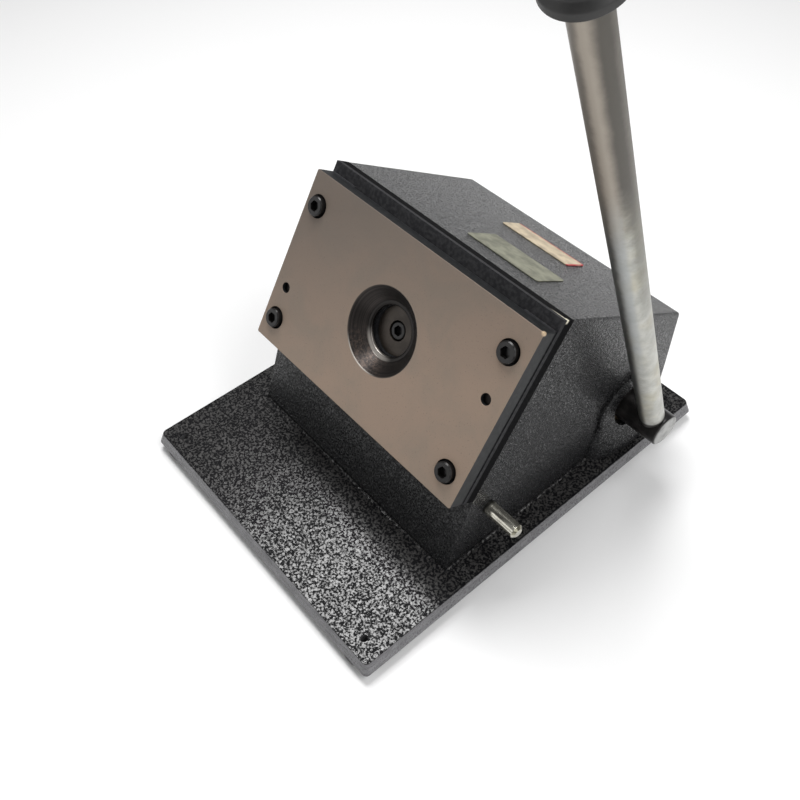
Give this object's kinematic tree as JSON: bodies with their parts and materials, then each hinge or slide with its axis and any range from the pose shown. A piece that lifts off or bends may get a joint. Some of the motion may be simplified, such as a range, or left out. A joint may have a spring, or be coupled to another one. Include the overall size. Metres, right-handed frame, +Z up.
{
  "type": "badge circle cutter",
  "caption": "Hand-lever press that cuts paper discs for badges: a sloping die plate with a paper slot on a closed housing, punch driven by a side lever, on a flat base plate.",
  "frame": {"origin": "on the table, midway between the four corner holes of the base", "axes": "+X to the user's right, along the cross shaft; +Y away from the user; +Z up"},
  "size_m": [0.2238, 0.268, 0.4281],
  "materials": {
    "black_base": "black hammered stove enamel on cast iron, coarse pebble",
    "black_housing": "black hammered stove enamel on a casting, finer pebble",
    "foot_rubber": "moulded black rubber",
    "blackened_screw": "black oxide socket screws, satin",
    "ground_plate": "ground tool steel with a warm grey-brown tarnish",
    "blackened_plate": "black oxide plate, satin",
    "hardened_pin": "dark hardened dowel",
    "bronze": "plain bearing bronze",
    "tool_steel": "turned tool steel, oily",
    "machined_steel": "machined mild steel",
    "oiled_shaft": "dark oily turned shaft with a pale ground end",
    "spring_steel": "oil-tempered spring wire",
    "lever_steel": "dull zinc-grey drawn steel with weathering",
    "grip_plastic": "moulded black grip",
    "polished_pin": "bright ground pin",
    "cream_tag": "blank cream name plate with a red edge line",
    "grey_tag": "blank olive grey name plate"
  },
  "bodies": {
    "frame": {"base_plate": "black_base", "rubber_feet": "foot_rubber", "housing": "black_housing", "housing_screws": "blackened_screw", "die_plate": "ground_plate", "slot_spacers": "blackened_plate", "stripper_plate": "blackened_plate", "guide_plate": "blackened_plate", "plate_screws": "blackened_screw", "dowel_pins": "hardened_pin", "ram_bush": "bronze", "shaft_bush_right": "bronze", "shaft_bush_left": "bronze", "thrust_washer": "bronze", "return_spring": "spring_steel", "stop_pin": "polished_pin", "name_plate_upper": "cream_tag", "name_plate_lower": "grey_tag"},
    "lever": {"cross_shaft": "oiled_shaft", "eccentric": "machined_steel", "eccentric_key": "machined_steel", "eccentric_grub_screw": "blackened_screw", "shaft_collar": "machined_steel", "collar_grub_screw": "blackened_screw", "retaining_ring": "spring_steel", "lever_rod": "lever_steel", "lever_grip": "grip_plastic"},
    "ram": {"punch": "tool_steel", "punch_screw": "blackened_screw", "ram": "machined_steel", "ram_yoke": "machined_steel", "yoke_screws": "blackened_screw"}
  },
  "joints": [
    {"name": "lever_swing", "type": "hinge", "parent": "frame", "child": "lever", "pos_m": [0.1074, 0.07673, 0.04622], "axis": [1, 0, 0], "range_deg": [0, 61.2], "stiffness_Nm_per_rad": 1, "springref_deg": -45.84, "deforming": ["return_spring"]},
    {"name": "ram_slide", "type": "slide", "parent": "frame", "child": "ram", "axis": [0, -0.8443, 0.5358], "range_m": [0, 0.00694]}
  ],
  "couplings": [
    {"joint": "ram_slide", "follows": "lever_swing", "m_per_rad": 0.0064813}
  ]
}
